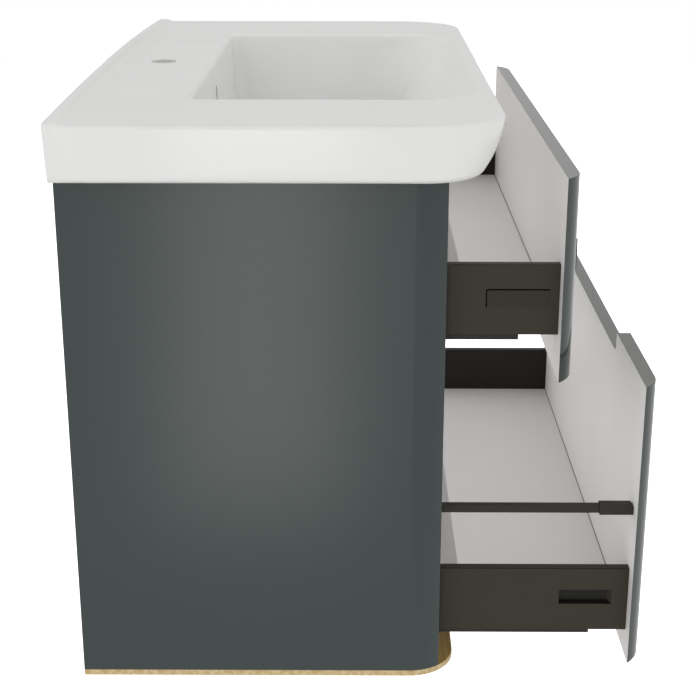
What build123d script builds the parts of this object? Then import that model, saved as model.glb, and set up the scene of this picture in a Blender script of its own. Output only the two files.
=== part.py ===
from build123d import *
import math
import os

# Wall-hung vanity unit: a ceramic washbasin on a cabinet with two drawers, both partly open.
# Frame: +X to the right of someone facing the fronts, fronts towards -Y, wall plane at Y = 0, +Z up.
# Heights are written from the underside of the carcass, and the finished model is moved so that
# the wall rail's screw line is the origin.
# Left-hand pieces are built first, at negative X, and mirrored for the right.

# Cabinet
cabinet_width = 915.0
cabinet_depth = 455.0
cabinet_height = 613.0
corner_radius = 56.0
side_thick = 22.0
board_thick = 16.0
base_plate_thick = 8.0
edge_round = 1.0

# Drawer fronts
front_thick = 18.0
front_stand_off = 1.5
front_reveal_bottom = 2.0
front_reveal_middle = 5.5
front_reveal_top = 2.0
upper_front_height = 240.0
grip_from_end = 218.0
grip_depth = 25.0
grip_corner = 9.0

# Drawers, with how far each one stands open
upper_open = 130.0
lower_open = 232.0
upper_side_above_edge = 51.5
lower_side_above_edge = 34.5
drawer_rear_room = 4.0
side_inset = 38.0
metal_thick = 13.0
metal_height = 84.0
metal_wall = 1.0
metal_round = 1.2
flange_width = 17.0
drawer_bottom_thick = 10.0
drawer_back_thick = 16.0
lower_back_height = 170.0
panel_clearance = 0.5

# Window in the metal side and the cap that closes it
cap_length = 74.0
cap_height = 22.0
cap_thick = 1.2
cap_gap = 0.5
cap_boss_margin = 5.0
slot_length = 65.0
slot_height = 19.5
slot_from_front = 20.0
cap_from_front = 11.0
window_top = 55.0

# Bracket between metal side and front
bracket_length = 90.0
bracket_thick = 5.0
bracket_foot_z = 16.0
bracket_height = 50.0
bracket_flange = 2.0
bracket_flange_margin = 9.0

# Gallery rails of the lower drawer
rail_width = 10.0
rail_height = 9.0
rail_bottom = 158.5
rail_bracket_size = 13.0
rail_bracket_length = 41.0
rail_bracket_chamfer = 3.0
rail_bracket_bottom = 156.5
rail_socket_depth = 8.0
rail_socket_gap = 0.3

# Runners: three nested steel profiles under each metal side
runner_inset = 7.5
runner_steel = 1.5
runner_gap = 0.3
drawer_member_width = 20.0
drawer_member_drop = 8.6
drawer_member_front = 45.0
drawer_member_rear = 5.0
middle_member_width = 11.0
middle_member_drop = 7.7
middle_member_front = 32.0
middle_member_rear = 3.0
cabinet_member_front = 3.0
cabinet_member_rear = 6.5
cabinet_member_foot = 18.0
cabinet_member_height = 32.0

# Waste-trap cut-out of the upper drawer
trap_width = 210.0
trap_front = 280.0
trap_wall = 3.0
trap_corner = 30.0

# Back of the drawers
back_fixing_thick = 2.0
back_fixing_width = 37.0
back_tongue_length = 30.0
back_tongue_gap = 2.0

# Carcass rails and wall fixing
back_rail_inset = 22.0
upper_back_rail_height = 110.0
lower_back_rail_height = 80.0
stretcher_height = 36.0
stretcher_below_top = 63.0
hang_below_top = 65.0
wall_rail_end_room = 3.5
wall_rail_height = 40.0
wall_rail_thick = 2.0
wall_rail_hook_depth = 8.0
wall_rail_lip = 10.0
wall_screw_spacing = 600.0
wall_screw_hole = 7.0
hanger_width = 20.0
hanger_depth = 34.0
hanger_height = 62.0
hanger_round = 3.0
hanger_arm_width = 14.0
hanger_arm_thick = 6.0
hook_tip = 3.0
hook_gap = 0.4
hook_tip_drop = 8.0

# Fasteners
cam_diameter = 15.0
cam_depth = 12.5
cam_from_end = 34.0
cam_bolt_diameter = 7.0
cam_bolt_bore = 8.0
cam_thread_diameter = 5.0
cam_thread_length = 11.0
cam_edge_distance = 50.0
wood_screw_diameter = 4.0
wood_screw_head = 8.0
wood_screw_head_height = 2.6
screw_tip_cover = 5.5
base_screw_tip_cover = 2.0
base_screw_from_edge = 114.0
base_screw_spacing = 290.0
runner_screw_diameter = 6.0
runner_screw_length = 12.0
runner_screw_from_end = 31.0
runner_screw_height = 22.5
runner_screw_head = 10.0
runner_screw_head_height = 2.0
screw_gap = 0.1

# Washbasin
basin_side_overhang = 42.5
basin_front_overhang = 45.0
basin_rim = 65.5
basin_corner = 102.0
basin_corner_draft = 35.0
basin_taper = 12.0
basin_front_taper = 10.0
basin_front_sweep = 16.5
basin_sweep_power = 2.5
basin_foot_round = 12.0
basin_top_round = 4.5
lip_thick = 6.0
lip_cove = 18.0
lip_end_rise = 2.5
lip_middle_rise = 11.0
lip_round = 3.0
bowl_rear = 136.0
bowl_front_rim = 18.0
bowl_side_rim = 185.0
bowl_depth = 115.5
bowl_rear_corner = 10.0
bowl_rear_corner_draft = 16.0
bowl_front_corner = 82.0
bowl_edge_round = 10.0
bowl_floor_round = 24.0
bowl_side_draft = 26.0
bowl_rear_draft = 9.0
bowl_front_slope = 86.0
bowl_corner_draft = 13.0
bowl_wall = 12.0
deck_thick = 14.0
foot_width = 46.0
rear_wall = 32.0
hollow_corner = 30.0
tap_hole = 35.0
tap_from_wall = 68.0
waste_hole = 46.0
waste_from_wall = 225.0
overflow_hole = 25.0
overflow_below_top = 46.0
duct_width = 42.0
duct_depth = 34.0
duct_wall = 7.0
duct_drop = 18.0
duct_round = 8.0
basin_bolt_hole = 14.0
basin_bolt_spacing = 280.0
basin_bolt_below_top = 36.0

# Worked-out places
half_width = cabinet_width / 2
inner_half = half_width - side_thick
front_inner_y = -(cabinet_depth - front_thick)
panel_front_y = front_inner_y + front_stand_off
metal_outer_x = -half_width + side_inset
metal_inner_x = metal_outer_x + metal_thick
back_rail_y = -back_rail_inset - board_thick
drawer_rear_y = back_rail_y - drawer_rear_room
drawer_length = drawer_rear_y - front_inner_y
bottom_top = metal_wall + drawer_bottom_thick
basin_top = cabinet_height + basin_rim
upper_front_bottom = cabinet_height - front_reveal_top - upper_front_height
lower_front_top = upper_front_bottom - front_reveal_middle
lower_front_height = lower_front_top - front_reveal_bottom
member_x = metal_outer_x + runner_inset
cabinet_member_y = panel_front_y + cabinet_member_front
cabinet_member_length = back_rail_y - cabinet_member_rear - cabinet_member_y
upper_side_z = upper_front_bottom + upper_side_above_edge
lower_side_z = front_reveal_bottom + lower_side_above_edge
stretcher_top = cabinet_height - stretcher_below_top
stretcher_bottom = stretcher_top - stretcher_height
hang_height = cabinet_height - hang_below_top
basin_width = cabinet_width + 2 * basin_side_overhang
basin_depth = cabinet_depth + basin_front_overhang
bowl_front = basin_depth - bowl_front_rim
bowl_width = basin_width - 2 * bowl_side_rim
bowl_floor = basin_top - bowl_depth
overflow_z = basin_top - overflow_below_top

# Shares of the depth at which the basin's and the bowl's plans are drawn
basin_shares = (0.12, 0.4, 0.65, 0.85, 1)
bowl_shares = (0, 0.2, 0.45, 0.72, 1)
bowl_outside_shares = (0.45, 0.72)

# How far a cutting body runs past the face that it opens, and a length that counts as none
past = 5.0
eps = 0.01


def block(x0, x1, y0, y1, z0, z1):
    """A box given by its two corners."""
    size = (abs(x1 - x0), abs(y1 - y0), abs(z1 - z0))
    return Pos((x0 + x1) / 2, (y0 + y1) / 2, (z0 + z1) / 2) * Box(*size)


def rod(start, direction, diameter, length):
    """A round bar from a start point along a direction."""
    plane = Plane(origin=start, z_dir=direction)
    return extrude(plane * Circle(diameter / 2), length)


def other_side(shape):
    """The right-hand twin of a left-hand piece."""
    return mirror(shape, about=Plane.YZ)


def plan(width, depth, radius):
    """Plan outline with its rear edge on the wall and rounded front corners."""
    outline = Pos(0, -depth / 2) * Rectangle(width, depth)
    return fillet(outline.vertices().sort_by(Axis.Y)[:2], radius)


def carcass_slice(x0, x1, y0, y1, z0, z1):
    """Part of the rounded cabinet outline between two X, two Y and two Z limits."""
    outline = plan(cabinet_width, cabinet_depth, corner_radius)
    strip = Pos((x0 + x1) / 2, (y0 + y1) / 2) * Rectangle(abs(x1 - x0), abs(y1 - y0))
    return extrude(Pos(0, 0, z0) * (outline & strip), z1 - z0)


def wood_screw(head_point, direction, length):
    """Countersunk screw whose head ends flush at a point, driven along a direction."""
    plane = Plane(origin=head_point, z_dir=direction)
    head = loft([plane * Circle(wood_screw_head / 2),
                 plane.offset(wood_screw_head_height) * Circle(wood_screw_diameter / 2)])
    return head + rod(head_point, direction, wood_screw_diameter, length)


def wood_screw_hole(head_point, direction, length):
    """Room for a countersunk screw."""
    plane = Plane(origin=head_point, z_dir=direction)
    head = loft([plane * Circle(wood_screw_head / 2 + screw_gap),
                 plane.offset(wood_screw_head_height) * Circle(wood_screw_diameter / 2 + screw_gap)])
    return head + rod(head_point, direction, wood_screw_diameter + 2 * screw_gap, length + screw_gap)


# Carcass joints

def cam_joint(y, z, face):
    """Cam, bolt and the cuts for both, at the left end of a board.

    The bolt lies at (y, z) along X. face is the unit vector out of the board's face that the cam
    is put in from, half a board away from the bolt.
    """
    inner_x = -inner_half
    face = Vector(*face)
    mouth = Vector(inner_x + cam_from_end, y, z) + face * (board_thick / 2)
    cam = rod(mouth, face * -1, cam_diameter, cam_depth - screw_gap)
    cam_pocket = rod(mouth, face * -1, cam_diameter + 2 * screw_gap, cam_depth)
    bolt_length = cam_from_end - cam_diameter / 2
    bolt = rod((inner_x, y, z), (1, 0, 0), cam_bolt_diameter, bolt_length)
    bolt += rod((inner_x, y, z), (-1, 0, 0), cam_thread_diameter, cam_thread_length)
    board_cut = cam_pocket + rod((inner_x, y, z), (1, 0, 0), cam_bolt_bore, bolt_length)
    side_cut = rod((inner_x, y, z), (-1, 0, 0), cam_thread_diameter + 2 * screw_gap,
                   cam_thread_length + screw_gap)
    return cam, bolt, board_cut, side_cut


def carcass_boards():
    """The four boards between the side panels, before their joints are cut."""
    x = inner_half
    return {
        "bottom_panel": carcass_slice(-x, x, -back_rail_inset, panel_front_y, 0, board_thick),
        "back_rail_upper": block(-x, x, -back_rail_inset, back_rail_y,
                                 cabinet_height - upper_back_rail_height, cabinet_height),
        "back_rail_lower": block(-x, x, -back_rail_inset, back_rail_y,
                                 board_thick, board_thick + lower_back_rail_height),
        "front_stretcher": block(-x, x, panel_front_y, panel_front_y + board_thick,
                                 stretcher_bottom, stretcher_top),
    }


def carcass_joints():
    """Bolt places of each board: (y, z, face that the cam is put in from)."""
    bottom_mid = board_thick / 2
    rail_mid_y = (-back_rail_inset + back_rail_y) / 2
    stretcher_mid_y = panel_front_y + board_thick / 2
    window_bottom = hang_height - wall_rail_height / 2
    upper_top = (cabinet_height + window_bottom + hanger_height) / 2
    upper_bottom = (cabinet_height - upper_back_rail_height + window_bottom) / 2
    down, back = (0, 0, -1), (0, 1, 0)
    return {
        "bottom_panel": [(-back_rail_inset - cam_edge_distance, bottom_mid, down),
                         (panel_front_y + cam_edge_distance, bottom_mid, down)],
        "back_rail_upper": [(rail_mid_y, upper_top, back), (rail_mid_y, upper_bottom, back)],
        "back_rail_lower": [(rail_mid_y, board_thick + lower_back_rail_height / 4, back),
                            (rail_mid_y, board_thick + lower_back_rail_height * 3 / 4, back)],
        "front_stretcher": [(stretcher_mid_y, (stretcher_bottom + stretcher_top) / 2, back)],
    }


def hanger_window():
    """Opening in the upper back rail that a hanger's arm passes through."""
    x0 = -inner_half
    z0 = hang_height - wall_rail_height / 2
    return block(x0 - eps, x0 + hanger_width, -back_rail_inset + eps, back_rail_y - eps,
                 z0, z0 + hanger_height)


def base_plate_and_screws():
    """Oak plate with rounded lower edges, its screws, and their holes in the bottom panel."""
    plate = extrude(Pos(0, 0, -base_plate_thick) * plan(cabinet_width, cabinet_depth, corner_radius),
                    base_plate_thick)
    outer_edges = plate.edges().filter_by(Plane.XY).filter_by(lambda e: e.center().Y < -eps)
    plate = fillet(outer_edges, edge_round)
    length = board_thick + base_plate_thick - base_screw_tip_cover
    screws, holes = [], []
    for column in (-1, 0, 1):
        for y in (-base_screw_from_edge, base_screw_from_edge - cabinet_depth):
            head = (column * base_screw_spacing, y, board_thick)
            screws.append(wood_screw(head, (0, 0, -1), length))
            holes.append(wood_screw_hole(head, (0, 0, -1), length))
            plate -= holes[-1]
    return plate, screws, holes


def side_panel():
    """Left side panel, with its front edges rounded."""
    panel = carcass_slice(-half_width, -inner_half, 0, panel_front_y, 0, cabinet_height)
    front = panel.faces().sort_by(Axis.Y)[0]
    return fillet(front.edges().filter_by(Axis.Z), edge_round)


def build_carcass():
    """Side panels, boards between them, oak base plate, and their fasteners."""
    boards = carcass_boards()
    left = side_panel()
    cams, bolts = [], []
    for name, places in carcass_joints().items():
        for y, z, face in places:
            cam, bolt, board_cut, side_cut = cam_joint(y, z, face)
            boards[name] -= board_cut
            boards[name] -= other_side(board_cut)
            left -= side_cut
            cams += [cam, other_side(cam)]
            bolts += [bolt, other_side(bolt)]
    window = hanger_window()
    boards["back_rail_upper"] = boards["back_rail_upper"] - window - other_side(window)
    base, plate_screws, screw_holes = base_plate_and_screws()
    for hole in screw_holes:
        boards["bottom_panel"] -= hole
    return boards, left, base, cams, bolts, plate_screws


# Wall fixing

def wall_rail():
    """Steel rail screwed to the wall, with an upturned lip along its top."""
    half = inner_half - wall_rail_end_room
    bottom = hang_height - wall_rail_height / 2
    top = hang_height + wall_rail_height / 2
    rail = block(-half, half, 0, -wall_rail_thick, bottom, top)
    rail += block(-half, half, 0, -wall_rail_hook_depth, top - wall_rail_thick, top)
    rail += block(-half, half, -wall_rail_hook_depth + wall_rail_thick, -wall_rail_hook_depth,
                  top - wall_rail_thick, top + wall_rail_lip)
    for x in (-wall_screw_spacing / 2, wall_screw_spacing / 2):
        rail -= rod((x, eps, hang_height), (0, -1, 0), wall_screw_hole, wall_rail_thick + 2 * eps)
    return rail


def cabinet_hanger():
    """Hanger on the left side panel: a housing in front of the back rail, its arm and hook."""
    x0 = -inner_half
    x1 = x0 + hanger_width
    arm_x0 = x0 + (hanger_width - hanger_arm_width) / 2
    arm_x1 = arm_x0 + hanger_arm_width
    lip_top = hang_height + wall_rail_height / 2 + wall_rail_lip
    housing_z0 = hang_height - wall_rail_height / 2
    housing = block(x0, x1, back_rail_y, back_rail_y - hanger_depth,
                    housing_z0, housing_z0 + hanger_height)
    housing = fillet(housing.edges().filter_by(Axis.Z).group_by(Axis.Y)[0], hanger_round)
    tip_y = -wall_rail_hook_depth + wall_rail_thick + hook_gap
    arm = block(arm_x0, arm_x1, tip_y + hook_tip, back_rail_y, lip_top, lip_top + hanger_arm_thick)
    arm += block(arm_x0, arm_x1, tip_y, tip_y + hook_tip, lip_top - hook_tip_drop,
                 lip_top + hanger_arm_thick)
    return housing + arm


def hanger_screws(housing_mid_z):
    """Two screws through the hanger's housing into the left side panel."""
    x = -inner_half + hanger_width
    y = back_rail_y - hanger_depth / 2
    points = [(x, y, housing_mid_z - hanger_height / 4), (x, y, housing_mid_z + hanger_height / 4)]
    length = hanger_width + side_thick - screw_tip_cover
    return [(p, wood_screw(p, (-1, 0, 0), length), wood_screw_hole(p, (-1, 0, 0), length))
            for p in points]


# Runners

def member_profile(x0, width, top, drop):
    """Inverted channel seen along Y: web on top, two walls down."""
    outer = Pos(x0 + width / 2, top - drop / 2) * Rectangle(width, drop)
    inner_width = width - 2 * runner_steel
    inner_height = drop - runner_steel
    inner = Pos(x0 + width / 2, top - drop + inner_height / 2) * Rectangle(inner_width, inner_height)
    return outer - inner


def along_y(profile, y_front, length):
    """Extrude a profile drawn in X and Z backwards from its front end."""
    plane = Plane(origin=(0, y_front, 0), x_dir=(1, 0, 0), z_dir=(0, -1, 0))
    return extrude(plane * profile, -length)


def drawer_member(side_z):
    """Runner profile fixed under the metal side of a closed drawer."""
    profile = member_profile(member_x, drawer_member_width, side_z, drawer_member_drop)
    front = front_inner_y + drawer_member_front
    return along_y(profile, front, drawer_rear_y - drawer_member_rear - front)


def middle_member(side_z):
    """Middle profile of a closed runner, under the drawer member's web."""
    x0 = member_x + (drawer_member_width - middle_member_width) / 2
    top = side_z - runner_steel - runner_gap
    profile = member_profile(x0, middle_member_width, top, middle_member_drop)
    front = front_inner_y + middle_member_front
    return along_y(profile, front, drawer_rear_y - middle_member_rear - front)


def cabinet_member(side_z):
    """Fixed profile: flange on the side panel, web, and the fin that carries the middle member."""
    mid_x = member_x + drawer_member_width / 2
    fin_top = side_z - 2 * (runner_steel + runner_gap)
    foot = side_z - cabinet_member_foot
    x0 = -inner_half
    front, rear = cabinet_member_y, cabinet_member_y + cabinet_member_length
    member = block(x0, x0 + runner_steel, front, rear, foot, foot + cabinet_member_height)
    member += block(x0, mid_x + runner_steel / 2, front, rear, foot, foot + runner_steel)
    member += block(mid_x - runner_steel / 2, mid_x + runner_steel / 2, front, rear, foot, fin_top)
    return member


def runner_screws(side_z):
    """Screws through the cabinet member's flange: (screw, hole) pairs at the left side."""
    x = -inner_half + runner_steel
    z = side_z - cabinet_member_foot + runner_screw_height
    first = cabinet_member_y + runner_screw_from_end
    last = cabinet_member_y + cabinet_member_length - runner_screw_from_end
    pairs = []
    for y in (first, (first + last) / 2, last):
        head = rod((x, y, z), (1, 0, 0), runner_screw_head, runner_screw_head_height)
        screw = head + rod((x, y, z), (-1, 0, 0), runner_screw_diameter, runner_screw_length)
        hole = rod((x, y, z), (-1, 0, 0), runner_screw_diameter + 2 * screw_gap,
                   runner_screw_length + screw_gap)
        pairs.append((screw, hole))
    return pairs


# Drawers, all built closed

def metal_side(side_z, window_length, window_height, window_from_front):
    """Double-walled metal side with its bottom flange and the window in its outer wall."""
    outer = Pos(metal_outer_x + metal_thick / 2, side_z + metal_height / 2) * Rectangle(
        metal_thick, metal_height)
    outer = fillet(outer.vertices().sort_by(Axis.Y)[-2:], metal_round)
    inner = Pos(metal_outer_x + metal_thick / 2, side_z + metal_height / 2) * Rectangle(
        metal_thick - 2 * metal_wall, metal_height - 2 * metal_wall)
    flange = Pos(metal_inner_x + flange_width / 2 - metal_wall / 2, side_z + metal_wall / 2) * Rectangle(
        flange_width + metal_wall, metal_wall)
    side = along_y(outer - inner + flange, front_inner_y, drawer_length - back_fixing_thick)
    window_front = front_inner_y + window_from_front
    window = block(metal_outer_x - eps, metal_outer_x + metal_wall + eps, window_front,
                   window_front + window_length, side_z + window_top - window_height,
                   side_z + window_top)
    return side - window


def cover_cap(side_z):
    """Cap that closes the window, with a boss behind it that clips on the front bracket."""
    front = front_inner_y + cap_from_front + cap_gap
    rear = front + cap_length - 2 * cap_gap
    top = side_z + window_top - cap_gap
    bottom = top - cap_height + 2 * cap_gap
    cap = block(metal_outer_x, metal_outer_x + cap_thick, front, rear, bottom, top)
    boss_x = metal_inner_x - metal_wall - bracket_thick
    return cap + block(metal_outer_x + cap_thick, boss_x, front + cap_boss_margin,
                       rear - cap_boss_margin, bottom + cap_boss_margin, top - cap_boss_margin)


def front_bracket(side_z):
    """Steel bracket inside the metal side: a plate along it and a flange on the front."""
    x1 = metal_inner_x - metal_wall
    z0 = side_z + bracket_foot_z
    plate = block(x1 - bracket_thick, x1, front_inner_y, front_inner_y + bracket_length,
                  z0, z0 + bracket_height)
    flange = block(metal_outer_x + metal_wall + cap_gap, x1, front_inner_y,
                   front_inner_y + bracket_flange, z0 - bracket_flange_margin,
                   z0 + bracket_height + bracket_flange_margin)
    return plate + flange


def bracket_screw_points(side_z):
    """Heads of the two screws that hold the left bracket on the front."""
    x = (metal_outer_x + metal_inner_x) / 2
    z0 = side_z + bracket_foot_z
    y = front_inner_y + bracket_flange
    clear = wood_screw_head / 2 + 2 * screw_gap
    return [(x, y, z0 - clear), (x, y, z0 + bracket_height + clear)]


def drawer_bottom(side_z, rear_y):
    """Bottom board between the metal sides, on their flanges."""
    x = -metal_inner_x - panel_clearance
    return block(-x, x, front_inner_y, rear_y, side_z + metal_wall, side_z + bottom_top)


def drawer_back(side_z, height):
    """Back board standing on the bottom board."""
    x = -metal_inner_x - panel_clearance
    rear = drawer_rear_y - back_fixing_thick
    return block(-x, x, rear - drawer_back_thick, rear, side_z + bottom_top, side_z + height)


def back_fixing(side_z, height):
    """Plate across the rear end of the left metal side and the back board."""
    rear = drawer_rear_y
    plate = block(metal_outer_x, metal_outer_x + back_fixing_width, rear - back_fixing_thick, rear,
                  side_z + bottom_top, side_z + height)
    tongue = block(metal_outer_x + metal_wall + cap_gap, metal_inner_x - metal_wall - cap_gap,
                   rear - back_fixing_thick - back_tongue_length, rear - back_fixing_thick,
                   side_z + bottom_top + back_tongue_gap,
                   side_z + metal_height - metal_wall - back_tongue_gap)
    return plate + tongue


def slab(z0, height):
    """Front slab across the cabinet with its outer ends following the cabinet's corners."""
    return carcass_slice(-half_width, half_width, front_inner_y, -cabinet_depth, z0, z0 + height)


def soften(front):
    """Round the outer edges of a front slab."""
    face_edges = front.faces().sort_by(Axis.Y)[0].edges()
    return fillet(face_edges.filter_by(Axis.X), edge_round)


def upper_front():
    """Upper slab, plain."""
    return soften(slab(upper_front_bottom, upper_front_height))


def lower_front():
    """Lower slab with the finger-grip notch in the middle of its top edge."""
    front = slab(front_reveal_bottom, lower_front_height)
    notch = Pos(0, lower_front_top - grip_depth / 2 + grip_corner / 2) * Rectangle(
        cabinet_width - 2 * grip_from_end, grip_depth + grip_corner)
    notch = fillet(notch.vertices().sort_by(Axis.Y)[:2], grip_corner)
    plane = Plane(origin=(0, front_inner_y + past, 0), x_dir=(1, 0, 0), z_dir=(0, -1, 0))
    front -= extrude(plane * notch, front_thick + 2 * past)
    return soften(front)


def trap_outline(margin):
    """Plan of the waste-trap cut-out, grown by a margin, with rounded front corners."""
    rear = drawer_rear_y + past
    depth = trap_front + margin + rear
    outline = Pos(0, rear - depth / 2) * Rectangle(trap_width + 2 * margin, depth)
    return fillet(outline.vertices().sort_by(Axis.Y)[:2], trap_corner + margin)


def trap_surround(side_z):
    """U-shaped wall round the cut-out."""
    ring = trap_outline(0) - trap_outline(-trap_wall)
    wall = extrude(Pos(0, 0, side_z + metal_wall) * ring, metal_height - metal_wall)
    rear = drawer_rear_y - back_fixing_thick
    return wall & block(-trap_width, trap_width, rear, -cabinet_depth, side_z, side_z + metal_height)


def gallery_rail(side_z):
    """Rectangular rail from its front bracket to the back fixing."""
    mid_x = metal_outer_x + metal_thick / 2
    front = front_inner_y + rail_bracket_length - rail_socket_depth
    return block(mid_x - rail_width / 2, mid_x + rail_width / 2, front,
                 drawer_rear_y - back_fixing_thick, side_z + rail_bottom,
                 side_z + rail_bottom + rail_height)


def gallery_bracket(side_z):
    """Front bracket of a gallery rail, with the socket that the rail ends in."""
    mid_x = metal_outer_x + metal_thick / 2
    z0 = side_z + rail_bracket_bottom
    half = rail_bracket_size / 2
    body = block(mid_x - half, mid_x + half, front_inner_y, front_inner_y + rail_bracket_length,
                 z0, z0 + rail_bracket_size)
    top_front = body.edges().filter_by(Axis.X).group_by(Axis.Z)[-1].sort_by(Axis.Y)[0]
    body = chamfer(top_front, rail_bracket_chamfer)
    gap = rail_socket_gap
    socket = block(mid_x - rail_width / 2 - gap, mid_x + rail_width / 2 + gap,
                   front_inner_y + rail_bracket_length - rail_socket_depth,
                   front_inner_y + rail_bracket_length + eps,
                   side_z + rail_bottom, side_z + rail_bottom + rail_height + gap)
    return body - socket


# Washbasin

def basin_section(share):
    """Plan of the basin's outside at a share of the rim's height below the deck, open to the wall.

    The ends taper straight. The front tapers too, and sweeps in further towards the foot.
    """
    side = basin_rim * share * math.tan(math.radians(basin_taper))
    sweep = basin_front_sweep * max(share, 0) ** basin_sweep_power
    front = basin_depth - basin_rim * share * math.tan(math.radians(basin_front_taper)) - sweep
    outline = Pos(0, (basin_corner - front) / 2) * Rectangle(basin_width - 2 * side, front + basin_corner)
    outline = fillet(outline.vertices().sort_by(Axis.Y)[:2], basin_corner - basin_corner_draft * share)
    return Pos(0, 0, basin_top - basin_rim * share) * outline


def basin_outer():
    """Tapering block of the basin, high enough for the lip along the wall."""
    above = 2 * lip_middle_rise
    body = loft([basin_section(share) for share in (-above / basin_rim, *basin_shares)])
    body = fillet(body.faces().sort_by(Axis.Z)[0].edges(), basin_foot_round)
    return body & block(-basin_width, basin_width, 0, -2 * basin_depth, 0, basin_top + above)


def lip_cut():
    """What is taken off above the deck, with a hollow up to the lip, and above the lip's arched top."""
    half = basin_width / 2 + lip_middle_rise
    above = basin_top + 3 * lip_middle_rise
    front = -2 * basin_depth
    cove_y = -lip_thick - lip_cove
    cove = RadiusArc((cove_y, basin_top), (-lip_thick, basin_top + lip_cove), -lip_cove)
    deck_edges = [Line((front, basin_top), (cove_y, basin_top)),
                  cove,
                  Line((-lip_thick, basin_top + lip_cove), (-lip_thick, above)),
                  Line((-lip_thick, above), (front, above)),
                  Line((front, above), (front, basin_top))]
    across = Plane(origin=(-half, 0, 0), x_dir=(0, 1, 0), z_dir=(1, 0, 0))
    over_deck = extrude(across * make_face(deck_edges), 2 * half)
    arch = ThreePointArc((-half, basin_top + lip_end_rise), (0, basin_top + lip_middle_rise),
                         (half, basin_top + lip_end_rise))
    lip_edges = [arch,
                 Line((half, basin_top + lip_end_rise), (half, above)),
                 Line((half, above), (-half, above)),
                 Line((-half, above), (-half, basin_top + lip_end_rise))]
    along = Plane(origin=(0, past, 0), x_dir=(1, 0, 0), z_dir=(0, -1, 0))
    over_lip = extrude(along * make_face(lip_edges), past + lip_thick + lip_cove + past)
    return over_deck + over_lip


def soften_outside(body):
    """Round the rim's top edge all along its ends and front, then the lip's crest."""
    rim = [edge for edge in body.edges() if on_rim(edge.bounding_box())]
    body = fillet(rim, basin_top_round)
    crest_height = basin_top + lip_middle_rise / 2
    crest = [edge for edge in body.edges()
             if edge.length > basin_width / 2 and edge.bounding_box().max.Z > crest_height
             and edge.center().Y < -lip_thick / 2]
    return fillet(crest, lip_round)


def on_rim(box):
    """Whether an edge with this box runs along the rim's top, at its ends or its front."""
    at_end = max(abs(box.min.X), abs(box.max.X)) > basin_width / 2 - basin_top_round
    at_front = box.min.Y < -basin_depth + basin_top_round
    whole_lip = box.max.X - box.min.X > basin_width / 2 and not at_front
    return box.min.Z > basin_top - eps and (at_end or at_front) and not whole_lip


def bowl_section(share, grow):
    """Plan of the bowl at a share of its depth, grown by a wall. Its front slopes like a quarter round."""
    slope = 1 - (1 - share) ** 2
    rear = bowl_rear + bowl_rear_draft * share - grow
    front = bowl_front - bowl_front_slope * slope + grow
    width = bowl_width - 2 * bowl_side_draft * share + 2 * grow
    outline = Pos(0, -(rear + front) / 2) * Rectangle(width, front - rear)
    front_corners = outline.vertices().sort_by(Axis.Y)[:2]
    outline = fillet(front_corners, bowl_front_corner - bowl_corner_draft * share + grow)
    rear_corners = outline.vertices().group_by(Axis.Y)[-1]
    outline = fillet(rear_corners, bowl_rear_corner + bowl_rear_corner_draft * share + grow / 2)
    return Pos(0, 0, basin_top - bowl_depth * share) * outline


def bowl_form(shares, grow):
    """Body through the bowl's plans at some shares of its depth, with a rounded floor."""
    body = loft([bowl_section(share, grow) for share in shares])
    return fillet(body.faces().sort_by(Axis.Z)[0].edges(), bowl_floor_round)


def bowl_inside():
    """The room inside the bowl."""
    return bowl_form(bowl_shares, 0)


def bowl_outside():
    """The outer form of the bowl, from inside the deck down to the underside of its floor."""
    return bowl_form((deck_thick / bowl_depth, *bowl_outside_shares, 1 + bowl_wall / bowl_depth), bowl_wall)


def basin_hollow():
    """Room under the deck, inside the foot that stands on the cabinet."""
    shrink = basin_rim * math.tan(math.radians(basin_taper))
    half = basin_width / 2 - shrink - foot_width
    front = basin_depth - shrink - foot_width
    room = block(-half, half, -rear_wall, -front, cabinet_height - past, basin_top - deck_thick)
    return fillet(room.edges().filter_by(Axis.Z), hollow_corner)


def overflow_duct():
    """Outer body and inner channel of the overflow, from the bowl's rear wall to the waste hole."""
    half = duct_width / 2
    underside = bowl_floor - bowl_wall
    bottom = underside - duct_drop
    rear = -bowl_rear + duct_depth
    top = overflow_z + overflow_hole
    front = -waste_from_wall - waste_hole / 2 - duct_wall
    outer = block(-half, half, rear, -bowl_rear - bowl_wall, bottom, top)
    outer += block(-half, half, rear, front, bottom, bowl_floor - bowl_wall / 2)
    outer = fillet(outer.edges().filter_by(Axis.Z), duct_round)
    half -= duct_wall
    rear -= duct_wall
    bottom += duct_wall
    channel = block(-half, half, rear, -bowl_rear + bowl_wall, bottom, top - duct_wall)
    channel += block(-half, half, rear, -waste_from_wall, bottom, underside - eps)
    return outer, channel


def basin_holes():
    """Waste, tap and overflow holes, and the two holes for the wall bolts."""
    waste_length = bowl_wall + duct_drop + 2 * past
    holes = [rod((0, -waste_from_wall, bowl_floor + past), (0, 0, -1), waste_hole, waste_length),
             rod((0, -tap_from_wall, basin_top + past), (0, 0, -1), tap_hole, deck_thick + 2 * past),
             rod((0, -bowl_rear - 2 * bowl_wall, overflow_z), (0, 1, 0), overflow_hole, 3 * bowl_wall)]
    for x in (-basin_bolt_spacing / 2, basin_bolt_spacing / 2):
        holes.append(rod((x, past, basin_top - basin_bolt_below_top), (0, -1, 0), basin_bolt_hole,
                         rear_wall + 2 * past))
    return holes


def soften_bowl(body):
    """Round the bowl's edge at the deck."""
    half = bowl_width / 2 + eps
    edges = [edge for edge in body.edges()
             if abs(edge.center().Z - basin_top) < eps and abs(edge.center().X) < half
             and -bowl_front - eps < edge.center().Y < -bowl_rear + eps]
    return fillet(edges, bowl_edge_round)


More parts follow.
